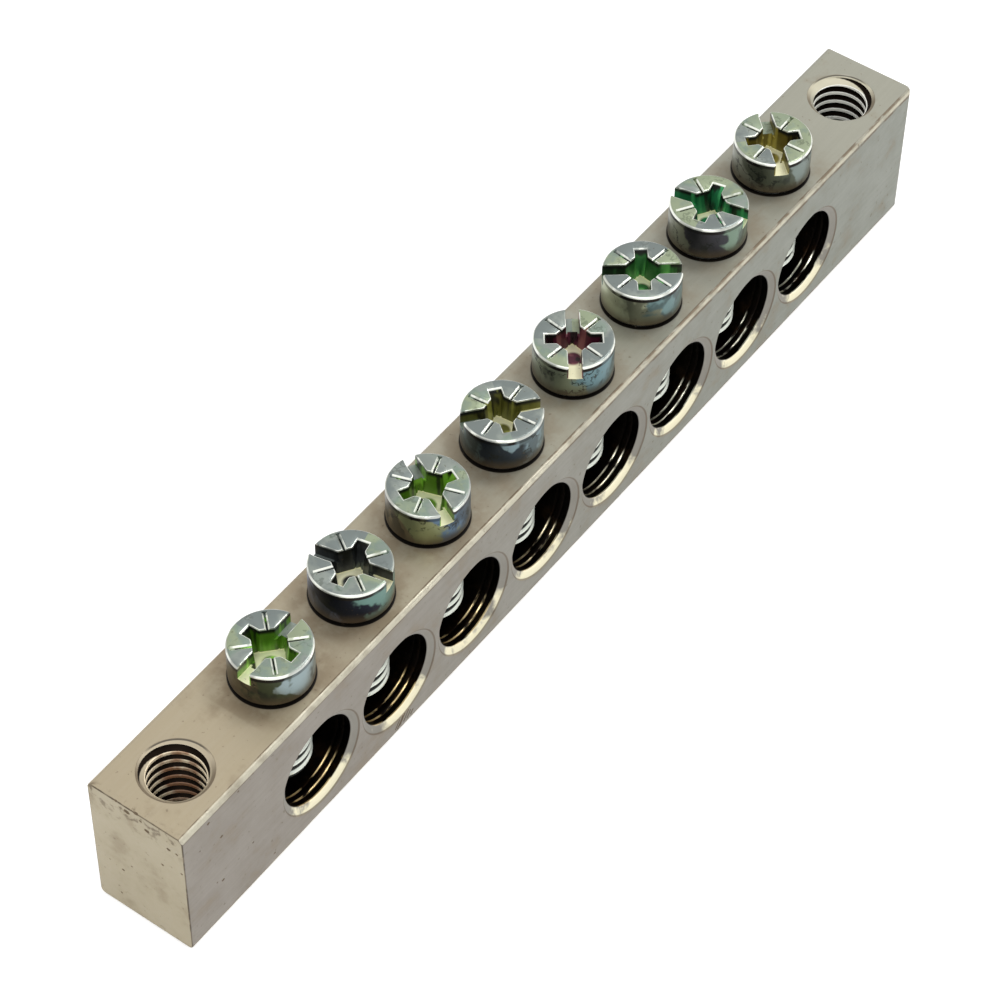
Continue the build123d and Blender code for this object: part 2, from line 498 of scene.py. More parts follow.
def boreTool():
    half, spare = barWidth / 2, bar["spare"]
    slope = tan(radians(bar["mouthAngle"] / 2))
    mouthRadius = boreRadius + bar["mouthChamfer"]
    mouthEnd = -half + bar["mouthChamfer"] / slope
    profile = [(0, -half - spare), (mouthRadius + spare * slope, -half - spare),
               (boreRadius, mouthEnd)]
    place = mouthEnd + bar["ringPitch"]
    while place < -half + bar["ringReach"]:
        profile += [(boreRadius, place - bar["ringHalf"]), (boreRadius + bar["ringDepth"], place),
                    (boreRadius, place + bar["ringHalf"])]
        place += bar["ringPitch"]
    profile += [(boreRadius, half - bar["exitChamfer"]),
                (boreRadius + bar["exitChamfer"] + spare, half + spare), (0, half + spare)]
    return turned(profile, yAxis, xAxis, bar["boreSteps"])


def screwHoleTool():
    radius, spare = bar["screwHoleRadius"], bar["spare"]
    profile = [(0, wayHeight), (radius, wayHeight), (radius, barHeight - bar["screwMouth"]),
               (radius + bar["screwMouth"] + spare, barHeight + spare), (0, barHeight + spare)]
    return turned(profile, zAxis, xAxis, bar["holeSteps"])


def fixingHoleTool():
    radius, mouth, spare = fixingRadius, bar["fixingMouthRadius"], bar["spare"]
    depth = mouth - radius
    profile = [(0, -spare), (mouth + spare, -spare), (radius, depth), (radius, barHeight - depth),
               (mouth + spare, barHeight + spare), (0, barHeight + spare)]
    return turned(profile, zAxis, xAxis, bar["holeSteps"])


def knockTool(place, out, size):
    bm = bmesh.new()
    bmesh.ops.create_icosphere(bm, subdivisions=2, radius=size)
    bmesh.ops.scale(bm, vec=(1, 1, knockShape["flatness"]), verts=bm.verts)
    return shifted(bm, Vector(place) + Vector(out).normalized() * size * knockShape["lift"])


def scratchTool(x, z, length):
    half = scratchShape["half"]
    bm = boxShape((-half, -half, -length / 2), (half, half, length / 2))
    turnAbout(bm, 45, "Z")
    turnAbout(bm, scratchShape["lean"], "Y")
    return shifted(bm, (x, -barWidth / 2, z))


def knockTools():
    s = knockShape
    tools = []
    for y, z, size in endKnocks:
        tools.append(knockTool((s["end"], y, z), (-1, 0, 1 if z > s["edgeFrom"] else 0), size))
    for x, z, size in frontKnocks:
        onEdge = z > s["edgeFrom"]
        place = (x, s["frontEdge"] if onEdge else s["front"], z)
        tools.append(knockTool(place, (0, -1, 1 if onEdge else 0), size))
    for x, y, size in topKnocks:
        tools.append(knockTool((x, y, s["top"]), (0, 0, 1), size))
    return tools


def makeBar(material):
    shape = barBlank()
    shape = combined(shape, atPlaces(boreTool(), [(x, 0, wayHeight) for x in wayPlaces]))
    shape = combined(shape, atPlaces(screwHoleTool(), [(x, 0, 0) for x in wayPlaces]))
    shape = combined(shape, atPlaces(fixingHoleTool(), [(x, 0, 0) for x in fixingPlaces]))
    groove = threadGroove(zAxis, xAxis, fixingRadius - fixingThread["inside"], fixingThread,
                          -fixingThread["pitch"], barHeight + fixingThread["pitch"])
    places = [(x, 0, rise) for x, rise in zip(fixingPlaces, bar["threadRise"])]
    shape = combined(shape, atPlaces(groove, places))
    for tool in knockTools() + [scratchTool(*scratch) for scratch in barScratches]:
        shape = combined(shape, tool)
    finished(shape, "platedBar", "bar", "terminal_bar", material)


# Distances on the bar, in millimetres, that its painted zones follow
def barDistances(tree, place):
    x, y, z = addNode(tree, "ShaderNodeSeparateXYZ", {0: place}).outputs
    at = {"x": x, "y": y, "z": z}
    at["depth"] = plus(tree, y, barWidth / 2)
    at["sawn"] = plus(tree, x, barLength / 2)
    # how far over the nearest face, below 0 inside the metal
    at["overTop"] = minus(tree, z, barHeight)
    at["overZ"] = minus(tree, amount(tree, minus(tree, z, barHeight / 2)), barHeight / 2)
    at["overY"] = minus(tree, amount(tree, y), barWidth / 2)
    at["overEdge"] = plus(tree, plus(tree, at["overZ"], at["overY"]), bar["edgeRadius"] * 2)
    # from the nearest way: its screw's axis and its bore's wall
    fromWay = calc(tree, "WRAP", minus(tree, x, wayPlaces[0]), wayPitch / 2, -wayPitch / 2)
    at["up"] = minus(tree, z, wayHeight)
    at["screw"] = across(tree, fromWay, y)
    at["bore"] = minus(tree, across(tree, fromWay, at["up"]), boreRadius)
    at["ways"] = minus(tree, amount(tree, x), wayPlaces[-1] + wayPitch / 2)
    # from the nearest fixing hole's axis
    fromNear = minus(tree, x, fixingPlaces[0])
    sideways = calc(tree, "WRAP", fromNear, fixingPlaces[1], -fixingPlaces[1])
    backX, backY = bar["backWay"]
    at["hole"] = across(tree, sideways, y)
    at["back"] = plus(tree, product(tree, sideways, backX), product(tree, y, backY))
    return at


# The plating's colour in lit and shaded copies: the top painted lighter towards the near end and
# the sawn end painted lighter as painted light, the front darker as painted shade; with stains,
# streaks, smudges round the screws that are partly painted shade, and a painted shadow just round
# each head
def platingColour(tree, at, marks):
    top = blendColour(tree, within(tree, barZones, topDrift=at["x"]), bar["topNear"], bar["topFar"])
    drift = within(tree, barZones, frontDrift=at["x"])
    front = blendColour(tree, drift, bar["frontNear"], bar["frontFar"])
    # brown smudges round each screw on the top: partly stain, partly painted shade round the heads
    smudge = within(tree, barZones, smudge=at["screw"], smudgePatch=marks["Stains"],
                    smudgeDrift=at["x"], top=at["overTop"], ways=at["ways"])
    # painted shadow: a near-black ring just outside each head, where the head shades the bar
    grime = within(tree, barZones, grimeRing=at["screw"], top=at["overTop"], ways=at["ways"])
    colour = blendColour(tree, within(tree, barZones, front=at["depth"]), top, front)
    for share, tint in ((within(tree, barZones, sawnEnd=at["sawn"]), "endColour"),
                        (within(tree, barZones, stain=marks["Stains"]), "stainColour"),
                        (within(tree, barZones, streak=marks["Streaks"]), "streakColour"),
                        (smudge, "stainColour"), (grime, "grimeColour")):
        colour = blendColour(tree, share, colour, bar[tint])
    return colour


# The drawn edges on the front side get a painted highlight beside a broken dark hairline, and the
# sawn ones are dark
def edgeColours(tree, at, marks, place, colour):
    hairline = within(tree, barZones, hairline=at["overEdge"], frontHalf=at["y"],
                      hairlinePatch=noise(tree, place, bar["lineScale"]))
    colour = blendColour(tree, hairline, colour, bar["pitColour"])
    overRub = plus(tree, at["overEdge"], within(tree, barZones, rubDrift=at["x"]))
    rubbed = within(tree, barZones, rub=overRub, frontHalf=at["y"], rubPatch=marks["Dings"])
    colour = blendColour(tree, rubbed, colour, bar["wornEdge"])
    overSawn = minus(tree, larger(tree, at["overZ"], at["overY"]), at["sawn"])
    sawnLine = within(tree, barZones, sawnLine=overSawn, sawnPatch=marks["Dings"])
    return blendColour(tree, sawnLine, colour, bar["grimeColour"])


# Dirt in the knocks and scratches, specks, and pits that crowd along the sawn end's upper edge
def pitShares(tree, at, marks, place):
    overFace = larger(tree, larger(tree, at["overZ"], at["overY"]), product(tree, at["sawn"], -1.0))
    knocked = within(tree, barZones, knock=overFace, knockEdge=at["overEdge"], knockEnd=at["x"],
                     knockReach=overFace)
    crowded = within(tree, barZones, pit=noise(tree, place, bar["pitScale"]), pitEnd=at["sawn"],
                     pitTop=at["z"])
    pits = larger(tree, product(tree, marks["Specks"], bar["speckShare"]),
                  product(tree, crowded, bar["edgePitShare"]))
    return larger(tree, pits, product(tree, knocked, bar["knockShare"]))


# Countersinks painted bright on their lower side as painted light, with a thin dark rim, and bores
# painted black as painted shade, with a few painted glints on the drill's rings
def boreColours(tree, at, marks, place, colour, inMouth, inBore):
    low = plus(tree, at["up"], within(tree, barZones, chamferPatch=marks["Stains"]))
    chamfer = blendColour(tree, within(tree, barZones, chamferLow=low),
                          bar["chamferGrey"], bar["chamferBright"])
    rim = product(tree, within(tree, barZones, rim=at["bore"]), bar["rimShare"])
    chamfer = blendColour(tree, rim, chamfer, bar["pitColour"])
    colour = blendColour(tree, inMouth, colour, chamfer)
    brown = within(tree, barZones, brownPatch=noise(tree, place, bar["brownScale"]),
                   brownLow=at["up"])
    dark = blendColour(tree, brown, bar["boreColour"], bar["boreBrown"])
    fromRing = amount(tree, calc(tree, "WRAP", minus(tree, at["depth"], bar["firstRing"]),
                                 bar["ringPitch"] / 2, -bar["ringPitch"] / 2))
    glints = within(tree, barZones, ring=fromRing, ringReach=at["depth"], ringLow=at["up"],
                    ringPatch=noise(tree, place, bar["glintScale"]))
    drift = within(tree, barZones, ringDrift=at["x"])
    ring = blendColour(tree, drift, bar["ringColour"], bar["ringFar"])
    return blendColour(tree, inBore, colour, blendColour(tree, glints, dark, ring))


# The tapped fixing holes: crests painted bright as highlights and grooves painted black as shade,
# which also cut the countersinks; each countersink is painted light on the side that catches the
# light, with a painted shadow line inside its rim there
def fixingHoleColours(tree, at, place, colour, inHole, inGroove, coneRadius):
    farHole = within(tree, barZones, farHole=at["x"])
    crest = blendColour(tree, farHole, bar["crestNear"], bar["crestFar"])
    tarnish = within(tree, barZones, tarnishPatch=noise(tree, place, bar["tarnishScale"]),
                     tarnishBack=at["back"], nearHole=at["x"])
    crest = blendColour(tree, tarnish, crest, bar["crestBrown"])
    bright = blendColour(tree, farHole, bar["coneNear"], bar["coneFar"])
    cone = blendColour(tree, within(tree, barZones, coneBack=at["back"]), colour, bright)
    fromLip = amount(tree, minus(tree, at["hole"], bar["fixingMouthRadius"] - bar["lipInset"]))
    lip = within(tree, barZones, lip=fromLip, lipBack=at["back"])
    cone = blendColour(tree, lip, cone, bar["grooveColour"])
    onCone = within(tree, barZones, cone=minus(tree, coneRadius, fixingRadius))
    crest = blendColour(tree, onCone, crest, cone)
    threaded = blendColour(tree, inGroove, crest, bar["grooveColour"])
    return blendColour(tree, inHole, colour, threaded)


# Satin plating, worn to brown pits at the near end
def platedBrass():
    material, tree, shader = newMaterial("platedBrass", bar["roughness"], bar["metallic"])
    place = inMillimetres(tree)
    marks = placeGroup(tree, handlingMarks, {"Vector": place, "Streak Scale": bar["streakScale"]})
    at = barDistances(tree, place)
    inBore = within(tree, barZones, bore=at["bore"], ways=at["ways"], boreEnds=at["overY"])
    inMouth = within(tree, barZones, mouth=at["bore"], ways=at["ways"], mouthFace=at["overY"],
                     mouthSide=at["y"])
    mouth = bar["fixingMouthRadius"]
    inHole = within(tree, barZones, hole=minus(tree, at["hole"], mouth), holeFace=at["overZ"])
    coneRadius = larger(tree, plus(tree, at["overZ"], mouth), fixingRadius)
    inGroove = within(tree, barZones, groove=minus(tree, at["hole"], coneRadius))
    pits = pitShares(tree, at, marks, place)

    colour = platingColour(tree, at, marks)
    colour = edgeColours(tree, at, marks, place, colour)
    colour = blendColour(tree, pits, colour, bar["pitColour"])
    colour = boreColours(tree, at, marks, place, colour, inMouth, inBore)
    colour = fixingHoleColours(tree, at, place, colour, inHole, inGroove, coneRadius)
    tree.links.new(colour, shader.inputs["Base Color"])

    rough = plus(tree, within(tree, barZones, dull=marks["Stains"]), bar["roughness"])
    rough = minus(tree, rough, product(tree, inMouth, bar["mouthPolish"]))
    rough = plus(tree, rough, product(tree, pits, bar["pitRoughness"]))
    tree.links.new(rough, shader.inputs["Roughness"])
    metal = larger(tree, bar["metallic"], inBore)
    metal = minus(tree, metal, product(tree, inHole, bar["holeDullness"]))
    metal = larger(tree, metal, product(tree, inHole, inGroove))
    metal = minus(tree, metal, product(tree, pits, bar["pitDullness"]))
    tree.links.new(metal, shader.inputs["Metallic"])
    height = plus(tree, product(tree, marks["Streaks"], bar["streakBump"]),
                  product(tree, marks["Dings"], bar["dingBump"]))
    addBump(tree, shader, minus(tree, height, pits), bar)
    return material


screw = {
    "seatGap": 0.02,
    "shankLength": 7.62,
    "shankRadius": 2.0,
    "tipChamfer": 0.5,
    "headRadius": 2.4,
    "headHeight": 2.6,
    "headEdge": 0.16,
    "underChamfer": 0.25,
    "slotWidth": 0.8,
    "slotDepth": 0.9,
    "crossDepth": 1.75,
    "crossSpan": 3.4,
    "crossArm": 0.75,
    "armTaper": 0.6,
    "crossCore": 1.95,
    "coreTaper": 0.85,
    "crossRise": 0.2,  # how far the cross's tool stands out of the head
    "tipRound": 0.16,
    "tipReach": 0.65,
    "tipSteps": 4,
    "tickWidth": 0.3,
    "tickDepth": 0.16,
    "tickEnd": 2.2,
    "softEdge": 0.07,
    "shortestEdge": 0.035,  # shorter ones would fold over in the bevel
    "lipAngle": 35,
    "lipSteps": 2,
    "rimSteps": 6,
    "steps": 96,
    "plainShank": 0.4,
    # the fixed direction in the room towards which every side's painted light and shade are laid
    "tintTurn": -55,
    "tintRise": 0.4,
    "topTints": [(0.2, (0.20, 0.23, 0.22)), (0.45, (0.28, 0.31, 0.28)),
                 (0.65, (0.23, 0.29, 0.24)), (0.85, (0.31, 0.36, 0.24))],
    # painted highlight: the white line under the rim and along the recess lips and tick flanks
    "edgeColour": (0.90, 0.92, 0.84),
    "recessShadow": (0.006, 0.007, 0.005),
    # painted light on the recess floors and on one slot end's floor
    "recessFloor": (1.0, 0.98, 0.66),
    "floorShare": 0.88,
    # painted highlight streaks on the recess walls
    "fluteGain": (2.6, 2.6, 2.6),
    "fluteLift": (0.06, 0.07, 0.03),
    # painted shade: near black round the bottom of the head and in a dark band under the rim's
    # highlight
    "underColour": (0.008, 0.006, 0.004),
    "footColour": (0.10, 0.075, 0.045),
    # dark smears: fingerprints, and on the sides partly painted dark reflection
    "smearColour": (0.015, 0.018, 0.014),
    # thread: where the shank shows in the bore, painted highlights on the crests and painted shade
    # in the grooves; plainer higher up, with mildly shaded grooves
    "crestColour": (0.95, 1.0, 0.90),
    "grooveColour": (0.012, 0.013, 0.011),
    "crestClean": (0.52, 0.56, 0.50),
    "grooveClean": (0.10, 0.11, 0.095),
    "metallic": 0.8,
    "roughness": 0.36,
    "squiggleMiddle": 0.52,
    "squiggleSide": 0.85,
    "squiggleTop": 0.35,
    "speckShare": 0.45,
    "shankDullness": 0.35,
    "streakScale": (1.4, 1.4, 6.0),
    "patchNoise": (0.6, 3.0, 0.5),
    "smearNoise": ((0.55, 0.55, 0.4), 3.0, 0.55),
    "squiggleNoise": (0.8, 4.0, 0.6),
    "lineNoise": (0.9, 1.0),
    "fluteNoise": ((1.5, 1.5, 0.15), 1.0),
    "wornNoise": (1.3, 2.0),
    "streakBump": 0.3,
    "dingBump": 1.3,
    "bumpStrength": 0.2,
    "bumpDepth": 0.05,
}
screwThread = {"pitch": 0.7, "rootFlat": 0.09, "flankAngle": 30, "rootRadius": 1.58, "steps": 40,
               "outside": 0.04, "runOut": 0.63, "shallowest": 0.02}
# Where each painted zone of a screw starts and is full, then its shares there if not 0 and 1
screwZones = {
    "blotch": (0.35, 0.65, -0.25, 0.25), "patch": (0.3, 0.7, -0.9, 0.9),
    "firstTint": (-1.5, -0.9), "lastTint": (0.6, 1.1), "smear": (0.53, 0.60, 0.0, 0.6),
    "squiggle": (0.03, 0.01), "squigglePatch": (0.5, 0.6), "foot": (-1.5, -2.35, 0.0, 0.75),
    "linePatch": (0.42, 0.55, 0.55, 1.0), "darkLine": (-0.46, -0.38), "paleLine": (-0.19, -0.15),
    "side": (-0.19, -0.13), "underTop": (-0.01, -0.04), "underHead": (-2.3, -2.36),
    "head": (0.0, 0.1), "slotWall": (0.08, 0.02), "slot": (-0.03, -0.01),
    "recess": (-0.09, -0.14), "cross": (1.95, 1.85), "wall": (-0.22, -0.5),
    "paleFlute": (0.54, 0.68, 0.0, 0.8), "darkFlute": (0.46, 0.36, 0.0, 0.85),
    "floor": (0.06, 0.02), "floorMiddle": (0.4, 0.6), "bareEnd": (-0.8, -1.2),
    "slotFloor": (0.03, 0.015), "slotEnds": (1.15, 1.25), "wornUpper": (-0.004, -0.012),
    "wornLower": (-0.11, -0.08), "wornEnd": (2.15, 2.1), "wornPatch": (0.36, 0.52, 0.25, 1.0),
    "shank": (-0.02, -0.08), "root": (-0.08, -0.14), "oily": (-1.8, -3.0),
    "dull": (0.3, 0.7, -0.06, 0.1), "recessDullness": (-0.6, -1.5, 0.2, 0.55),
}
# For each screw along the bar: its slot's turn, the tint of its recess, and three round its side,
# which stand for painted reflection, light and shade laid the same way in the room on every screw
screwRows = [
    (2, (0.10, 0.25, 0.015), (0.12, 0.10, 0.055), (0.045, 0.058, 0.03), (0.26, 0.33, 0.34)),
    (102, (0.03, 0.034, 0.034), (0.10, 0.12, 0.17), (0.003, 0.006, 0.015), (0.12, 0.22, 0.19)),
    (64, (0.10, 0.22, 0.015), (0.17, 0.14, 0.08), (0.22, 0.24, 0.12), (0.10, 0.16, 0.23)),
    (141, (0.12, 0.12, 0.02), (0.07, 0.10, 0.10), (0.018, 0.026, 0.034), (0.18, 0.25, 0.27)),
    (38, (0.09, 0.012, 0.03), (0.18, 0.20, 0.15), (0.20, 0.23, 0.16), (0.13, 0.22, 0.24)),
    (129, (0.025, 0.14, 0.03), (0.38, 0.41, 0.28), (0.29, 0.31, 0.21), (0.13, 0.21, 0.21)),
    (103, (0.01, 0.17, 0.06), (0.17, 0.18, 0.13), (0.035, 0.035, 0.04), (0.16, 0.23, 0.17)),
    (47, (0.16, 0.13, 0.02), (0.17, 0.18, 0.14), (0.07, 0.08, 0.055), (0.18, 0.22, 0.20)),
]


def taperedBar(length, width, taper, turn):
    depth, rise = screw["crossDepth"], screw["crossRise"]
    bm = boxShape((-length / 2, -width / 2, -depth), (length / 2, width / 2, 0))
    low = [v for v in bm.verts if v.co.z < -depth / 2]
    high = [v for v in bm.verts if v.co.z > -depth / 2]
    bmesh.ops.scale(bm, vec=(taper, taper, 1), verts=low)
    # carried on upwards at the same slope, so that nothing lies in the head's own top face
    grow = 1 + (1 - taper) * rise / depth
    bmesh.ops.scale(bm, vec=(grow, grow, 1), verts=high)
    bmesh.ops.translate(bm, vec=(0, 0, rise), verts=high)
    turnAbout(bm, turn, "Z")
    return shifted(bm, (0, 0, screw["headHeight"]))


def crossTool():
    s = screw
    shape = taperedBar(s["crossSpan"], s["crossArm"], s["armTaper"], 0)
    shape = combined(shape, taperedBar(s["crossSpan"], s["crossArm"], s["armTaper"], 90), "UNION")
    shape = combined(shape, taperedBar(s["crossCore"], s["crossCore"], s["coreTaper"], 45), "UNION")
    inner = s["crossCore"] * s["tipReach"]
    tips = [e for e in shape.edges if abs(e.verts[0].co.z - e.verts[1].co.z) > 1
            and all(v.co.xy.length < inner for v in e.verts)]
    roundOver(shape, tips, s["tipRound"], s["tipSteps"])
    return shape


def tickTool():
    bm = boxShape((0, -0.5, -0.5), (screw["tickEnd"], 0.5, 0.5))
    turnAbout(bm, 45, "X")
    corner = 0.5 * 2 ** 0.5
    size = (1, screw["tickWidth"] / 2 / corner, screw["tickDepth"] / corner)
    bmesh.ops.scale(bm, vec=size, verts=bm.verts)
    shifted(bm, (0, 0, screw["headHeight"]))
    turnAbout(bm, 45, "Z")
    return bm


def recessLip(shape):
    top = screw["headHeight"] - 1e-4
    return [e for e in shape.edges if all(v.co.z > top for v in e.verts)
            and len(e.link_faces) == 2 and e.calc_face_angle(0) > radians(screw["lipAngle"])]


def makeScrewShape():
    s = screw
    profile = [(0, -s["shankLength"]), (s["shankRadius"] - s["tipChamfer"], -s["shankLength"]),
               (s["shankRadius"], -s["shankLength"] + s["tipChamfer"]), (s["shankRadius"], 0),
               (s["headRadius"] - s["underChamfer"], 0), (s["headRadius"], s["underChamfer"]),
               (s["headRadius"], s["headHeight"]), (0, s["headHeight"])]
    shape = turned(profile, zAxis, xAxis, s["steps"])
    near = 0.01
    rimVerts = {v for v in shape.verts if v.co.z > s["headHeight"] - near
                and v.co.xy.length > s["headRadius"] - near}
    rim = [e for e in shape.edges if rimVerts.issuperset(e.verts)]
    roundOver(shape, rim, s["headEdge"], s["rimSteps"])
    groove = threadGroove(zAxis, xAxis, s["shankRadius"] + screwThread["outside"], screwThread,
                          -s["shankLength"] - screwThread["pitch"], -s["plainShank"])
    shape = combined(shape, groove)
    slotEnd = s["headRadius"] + 1
    slot = boxShape((-slotEnd, -s["slotWidth"] / 2, s["headHeight"] - s["slotDepth"]),
                    (slotEnd, s["slotWidth"] / 2, s["headHeight"] + 1))
    shape = combined(combined(shape, slot), crossTool())
    corners = list(dict.fromkeys(v for e in recessLip(shape) for v in e.verts))
    bmesh.ops.remove_doubles(shape, verts=corners, dist=s["shortestEdge"])
    roundOver(shape, recessLip(shape), s["softEdge"], s["lipSteps"], held=False)
    for quarter in range(4):
        tick = tickTool()
        turnAbout(tick, 90 * quarter, "Z")
        shape = combined(shape, tick)
    return shape


def makeScrews():
    master = makeScrewShape()
    finish = makeZincFinish()
    for number, (place, row) in enumerate(zip(wayPlaces, screwRows), start=1):
        shape = master.copy()
        turnAbout(shape, row[0], "Z")
        shifted(shape, (place, 0, barHeight + screw["seatGap"]))
        material = zincPlated(number, place, row, finish)
        finished(shape, f"terminalScrew{number}", f"clamp_screw_{number}",
                 f"terminal_screw_{number}", material)
    master.free()


# The side's tint drifts round the head, laid the same way in the room for every screw, as painted
# reflection, light and shade, and breaks into patches; its dark smears are partly painted dark
# reflection, a painted highlight line runs under the rim above a painted dark band, and it turns
# brown towards the seat
def sideColour(tree, given, z, place, noisePlace, squiggle):
    middle = vectorCalc(tree, "ADD", place, (0, 0, screw["headHeight"] / 2))[0]
    drift = vectorCalc(tree, "DOT_PRODUCT", middle, given["Tint Way"])["Value"]
    patch = within(tree, screwZones, patch=noise(tree, noisePlace, *screw["patchNoise"]))
    drift = plus(tree, drift, patch)
    side = blendColour(tree, within(tree, screwZones, firstTint=drift),
                       given["First Tint"], given["Middle Tint"])
    side = blendColour(tree, within(tree, screwZones, lastTint=drift), side, given["Last Tint"])
    smear = within(tree, screwZones, smear=noise(tree, noisePlace, *screw["smearNoise"]))
    line = noise(tree, noisePlace, *screw["lineNoise"])
    for share, tint in ((smear, "smearColour"),
                        (product(tree, squiggle, screw["squiggleSide"]), "smearColour"),
                        (within(tree, screwZones, foot=z), "footColour"),
                        (within(tree, screwZones, linePatch=line, darkLine=z), "underColour"),
                        (within(tree, screwZones, linePatch=line, paleLine=z), "edgeColour")):
        side = blendColour(tree, share, side, screw[tint])
    return side


# Painted shade under the lip, striped with painted highlights and painted shade, and painted light
# on the floors of the cross and of one slot end
def recessColour(tree, given, x, z, radius, noisePlace, top):
    tint = given["Recess Tint"]
    wall = blendColour(tree, within(tree, screwZones, wall=z), screw["recessShadow"], tint)
    flutes = noise(tree, noisePlace, *screw["fluteNoise"])
    pale = vectorCalc(tree, "MULTIPLY_ADD", tint, screw["fluteGain"], screw["fluteLift"])[0]
    wall = blendColour(tree, within(tree, screwZones, paleFlute=flutes), wall, pale)
    darkFlute = within(tree, screwZones, darkFlute=flutes)
    wall = blendColour(tree, darkFlute, wall, screw["recessShadow"])
    floorTint = blendColour(tree, screw["floorShare"], tint, screw["recessFloor"])
    onFloor = within(tree, screwZones, floor=plus(tree, z, screw["crossDepth"]),
                     floorMiddle=radius)
    wall = blendColour(tree, onFloor, wall, floorTint)
    slotTint = blendColour(tree, within(tree, screwZones, bareEnd=x), top, floorTint)
    onSlotFloor = within(tree, screwZones, slotEnds=amount(tree, x),
                         slotFloor=amount(tree, plus(tree, z, screw["slotDepth"])))
    return blendColour(tree, onSlotFloor, wall, slotTint)


# Below the head the thread is plain grey with slightly darker grooves; from where the wire bore
# starts its crests are painted highlights and its grooves painted shade
def threadColour(tree, radius, overSeat):
    oily = within(tree, screwZones, oily=overSeat)
    crest = blendColour(tree, oily, screw["crestClean"], screw["crestColour"])
    groove = blendColour(tree, oily, screw["grooveClean"], screw["grooveColour"])
    root = within(tree, screwZones, root=minus(tree, radius, screw["shankRadius"]))
    return blendColour(tree, root, crest, groove)


# Zinc with a blue and green passivation, with painted light and shade: highlights on the rim and
# the recess lips, shade in the recess and round the seat, lit recess floors and thread crests, and
# sides lit and shaded the same way on every screw. Its place is measured from the middle of the
# head's top, and turned with the slot
def makeZincFinish():
    tree, given, wanted = newGroup(
        "zincFinish", {"Place": "Vector", "Seed": "Float", "Tint Way": "Vector",
                       "Recess Tint": "Color", "First Tint": "Color", "Middle Tint": "Color",
                       "Last Tint": "Color"},
        {"Colour": "Color", "Roughness": "Float", "Metallic": "Float", "Height": "Float"})
    place = given["Place"]
    x, y, z = addNode(tree, "ShaderNodeSeparateXYZ", {0: place}).outputs
    radius = across(tree, x, y)
    overSeat = plus(tree, z, screw["headHeight"])
    noisePlace = vectorCalc(tree, "ADD", place, given["Seed"])[0]
    marks = placeGroup(tree, handlingMarks,
                       {"Vector": noisePlace, "Streak Scale": screw["streakScale"]})
    squiggle = noise(tree, noisePlace, *screw["squiggleNoise"])
    squiggle = minus(tree, squiggle, screw["squiggleMiddle"])
    squiggle = within(tree, screwZones, squiggle=amount(tree, squiggle),
                      squigglePatch=marks["Stains"])

    # each eighth of the top, between a tick and an arm, took the plating a little differently
    sector = calc(tree, "FLOOR", calc(tree, "DIVIDE", calc(tree, "ARCTAN2", y, x), pi / 4))
    luck = addNode(tree, "ShaderNodeTexWhiteNoise", {"W": plus(tree, sector, given["Seed"])},
                   noise_dimensions="1D").outputs["Value"]
    luck = plus(tree, luck, within(tree, screwZones, blotch=marks["Stains"]))
    scribble = product(tree, squiggle, screw["squiggleTop"])
    top = blendColour(tree, scribble, ramp(tree, luck, screw["topTints"]), screw["smearColour"])

    side = sideColour(tree, given, z, place, noisePlace, squiggle)
    # painted shade: near black round the bottom of the head, where it meets its seat
    under = within(tree, screwZones, underHead=z)
    side = blendColour(tree, under, side, screw["underColour"])
    onSide = within(tree, screwZones, side=minus(tree, radius, screw["headRadius"]), underTop=z)
    colour = blendColour(tree, larger(tree, onSide, under), top, side)

    fromSlot = minus(tree, amount(tree, y), screw["slotWidth"] / 2)
    inSlot = within(tree, screwZones, slotWall=fromSlot, slot=plus(tree, z, screw["slotDepth"]))
    pressed = product(tree, within(tree, screwZones, recess=z, head=overSeat),
                      larger(tree, inSlot, within(tree, screwZones, cross=radius)))
    recess = recessColour(tree, given, x, z, radius, noisePlace, top)
    colour = blendColour(tree, pressed, colour, recess)
    # painted highlight along the recess lips and the tick flanks
    worn = within(tree, screwZones, wornUpper=z, wornLower=z, wornEnd=radius,
                  wornPatch=noise(tree, noisePlace, *screw["wornNoise"]))
    colour = blendColour(tree, worn, colour, screw["edgeColour"])
    onShank = within(tree, screwZones, shank=overSeat)
    colour = blendColour(tree, onShank, colour, threadColour(tree, radius, overSeat))
    specks = product(tree, marks["Specks"], screw["speckShare"])
    tree.links.new(blendColour(tree, specks, colour, screw["footColour"]), wanted["Colour"])

    rough = plus(tree, within(tree, screwZones, dull=marks["Stains"]), screw["roughness"])
    tree.links.new(rough, wanted["Roughness"])
    dull = product(tree, pressed, within(tree, screwZones, recessDullness=z))
    metal = minus(tree, minus(tree, screw["metallic"], dull),
                  product(tree, onShank, screw["shankDullness"]))
    tree.links.new(metal, wanted["Metallic"])
    height = plus(tree, product(tree, marks["Streaks"], screw["streakBump"]),
                  product(tree, marks["Dings"], screw["dingBump"]))
    tree.links.new(height, wanted["Height"])
    return tree


def zincPlated(number, place, row, finish):
    name = f"zincPlated{number}"
    material, tree, shader = newMaterial(name, screw["roughness"], screw["metallic"])
    turn, recess, first, middle, last = row
    top = barHeight + screw["seatGap"] + screw["headHeight"]
    # cancels the slot's turn, so the side's painted light and shade lie the same way in the room on
    # every screw
    tintTurn = radians(screw["tintTurn"] - turn)
    given = placeGroup(tree, finish, {
        "Place": inMillimetres(tree, (place, 0, top), turn), "Seed": 11.0 * number,
        "Tint Way": (cos(tintTurn), sin(tintTurn), screw["tintRise"]), "Recess Tint": recess,
        "First Tint": first, "Middle Tint": middle, "Last Tint": last})
    tree.links.new(given["Colour"], shader.inputs["Base Color"])
    for label in ("Roughness", "Metallic"):
        tree.links.new(given[label], shader.inputs[label])
    addBump(tree, shader, given["Height"], screw)
    return material


makeBar(platedBrass())
makeScrews()
print("bar and screws ready")

